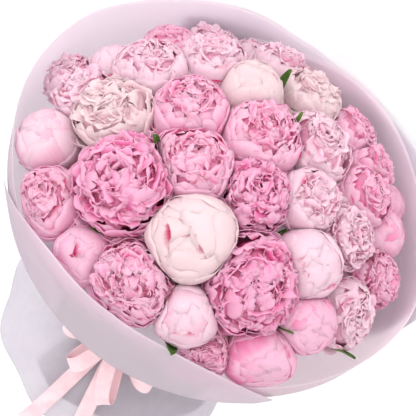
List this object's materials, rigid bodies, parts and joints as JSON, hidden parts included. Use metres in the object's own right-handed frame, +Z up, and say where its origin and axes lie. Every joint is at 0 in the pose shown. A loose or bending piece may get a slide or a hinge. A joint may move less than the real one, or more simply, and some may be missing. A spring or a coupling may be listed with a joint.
{
  "type": "bunch of peonies",
  "caption": "Large hand-tied bunch of double peonies, ruffled blooms, goblets and buds, in a flared paper wrap with a film skirt and a satin ribbon bow, lying on its side.",
  "frame": {"origin": "centre of the bounding box, on the floor under the lying bunch", "axes": "+Z up, +Y from the blooms towards the cut stems, +X to the side; the blooms face -Y and a little up"},
  "size_m": [0.5664, 0.681, 0.4806],
  "materials": {
    "ivory_petals": "soft, matt, slightly translucent petals",
    "blush_petals": "soft, matt, slightly translucent petals",
    "pink_petals": "soft, matt, slightly translucent petals",
    "rose_petals": "soft, matt, slightly translucent petals",
    "wrap_paper": "matt, smooth",
    "rose_wrap_paper": "matt, smooth",
    "grey_wrap_paper": "matt, smooth",
    "skirt_film": "matt, milky, creased",
    "satin_ribbon": "satin",
    "twine": "matt, twisted"
  },
  "bodies": {
    "root": {"peony_open_01": "blush_petals", "peony_open_02": "blush_petals", "peony_open_03": "ivory_petals", "peony_bud_04": "blush_petals", "peony_goblet_05": "blush_petals", "peony_goblet_06": "blush_petals", "peony_bud_07": "ivory_petals", "peony_open_08": "blush_petals", "peony_open_09": "ivory_petals", "peony_goblet_10": "pink_petals", "peony_goblet_11": "pink_petals", "peony_open_12": "blush_petals", "peony_open_13": "pink_petals", "peony_open_14": "pink_petals", "peony_open_15": "pink_petals", "peony_goblet_16": "blush_petals", "peony_ruffled_17": "rose_petals", "peony_goblet_18": "pink_petals", "peony_ruffled_19": "rose_petals", "peony_bud_20": "blush_petals", "peony_goblet_21": "pink_petals", "peony_bud_22": "pink_petals", "peony_ruffled_23": "pink_petals", "peony_bud_24": "ivory_petals", "peony_bud_25": "blush_petals", "peony_goblet_26": "pink_petals", "peony_ruffled_27": "rose_petals", "peony_bud_28": "pink_petals", "peony_bud_29": "pink_petals", "peony_bud_30": "blush_petals", "peony_ruffled_31": "blush_petals", "peony_ruffled_32": "pink_petals", "peony_open_33": "blush_petals", "peony_bud_34": "pink_petals", "peony_open_35": "blush_petals", "peony_goblet_36": "pink_petals", "peony_bud_37": "blush_petals", "peony_goblet_38": "blush_petals", "peony_bud_39": "pink_petals", "wrap_sheet_right": "rose_wrap_paper", "wrap_sheet_left": "wrap_paper", "wrap_sheet_front": "wrap_paper", "wrap_sheet_back": "grey_wrap_paper", "skirt_paper": "grey_wrap_paper", "skirt_film": "skirt_film", "tying_twine": "twine", "ribbon_band": "satin_ribbon", "ribbon_knot": "satin_ribbon", "ribbon_loop_left": "satin_ribbon", "ribbon_loop_right": "satin_ribbon", "ribbon_loop_lower_left": "satin_ribbon", "ribbon_loop_lower_right": "satin_ribbon", "ribbon_tail_left": "satin_ribbon", "ribbon_tail_right": "satin_ribbon"}
  },
  "joints": []
}
